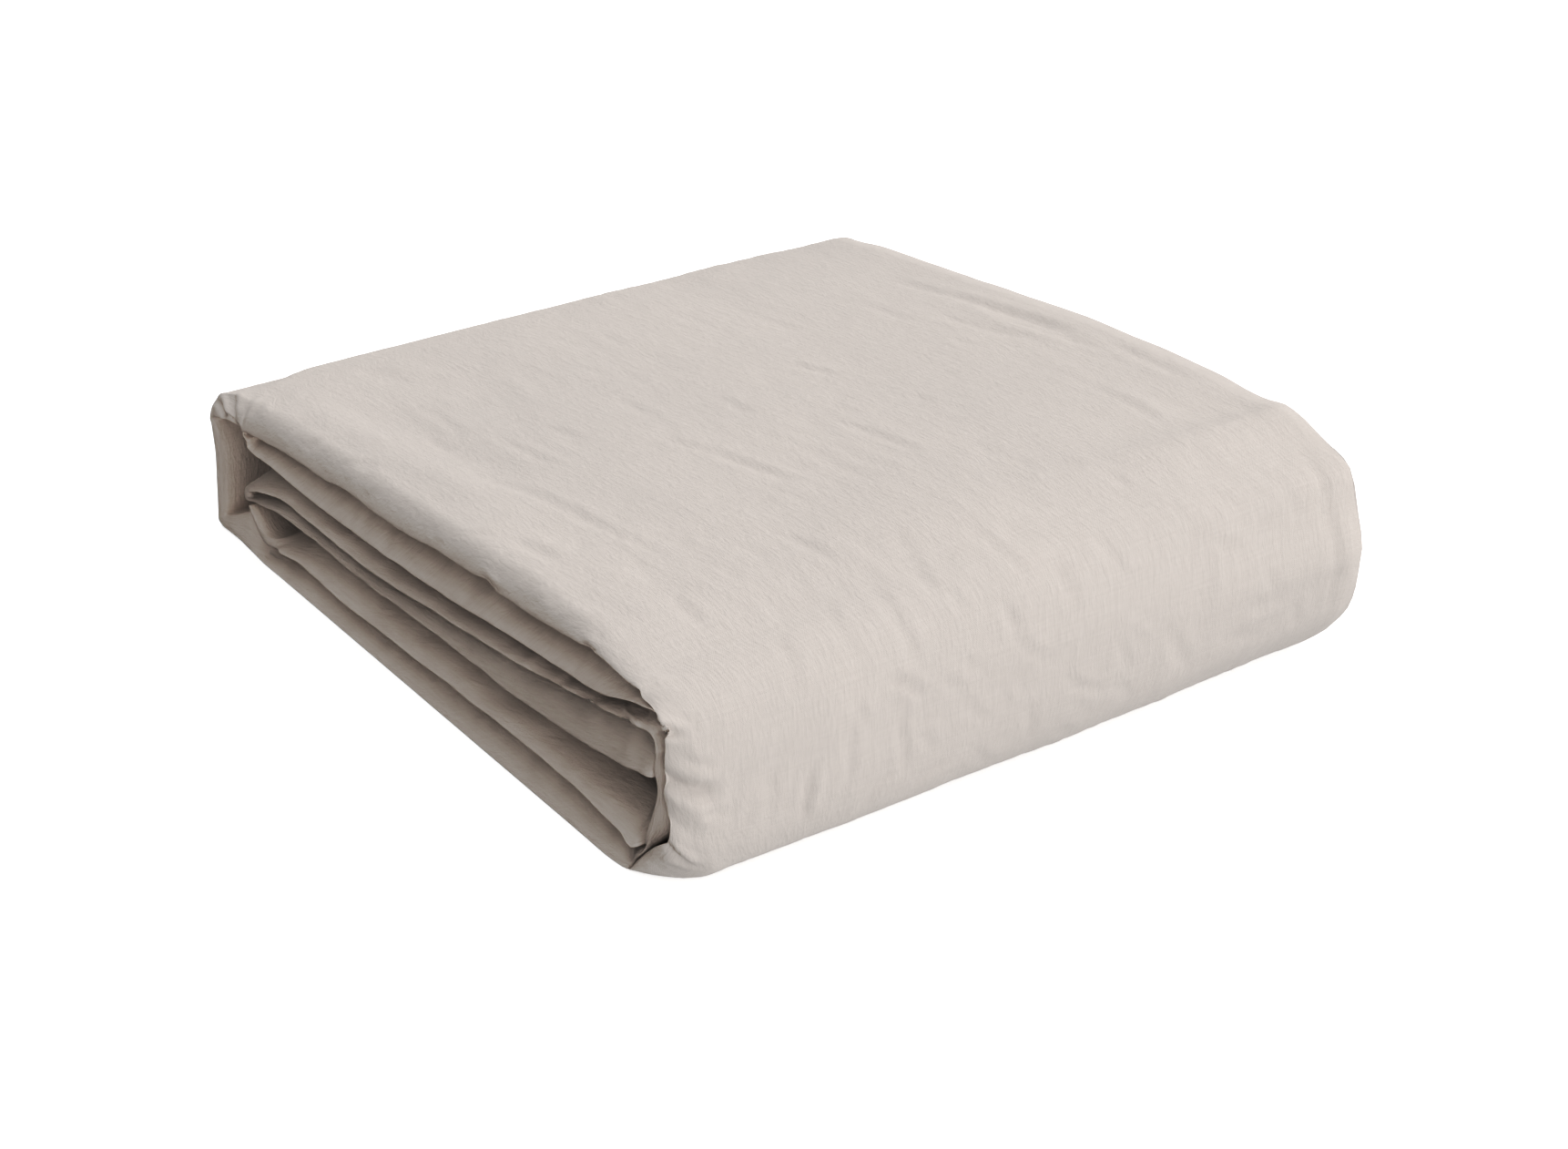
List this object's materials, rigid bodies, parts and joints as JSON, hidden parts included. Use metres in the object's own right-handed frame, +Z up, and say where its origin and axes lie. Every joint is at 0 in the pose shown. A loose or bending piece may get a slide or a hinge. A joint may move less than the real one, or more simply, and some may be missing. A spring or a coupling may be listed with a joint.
{
  "type": "folded fitted sheet",
  "caption": "Crumpled fitted sheet folded into a soft rectangular packet, wrapped round its own layers, with a big rounded fold on one side and the layers showing at one end.",
  "frame": {"origin": "middle of the packet's footprint, on the surface that it lies on", "axes": "+X across the packet to the big soft fold, +Y along the folds away from the end where the layers show, +Z up"},
  "size_m": [0.3984, 0.338, 0.1024],
  "materials": {
    "cloth": "matte, plain weave, washed and crumpled"
  },
  "bodies": {
    "root": {"fitted_sheet": "cloth"}
  },
  "joints": []
}
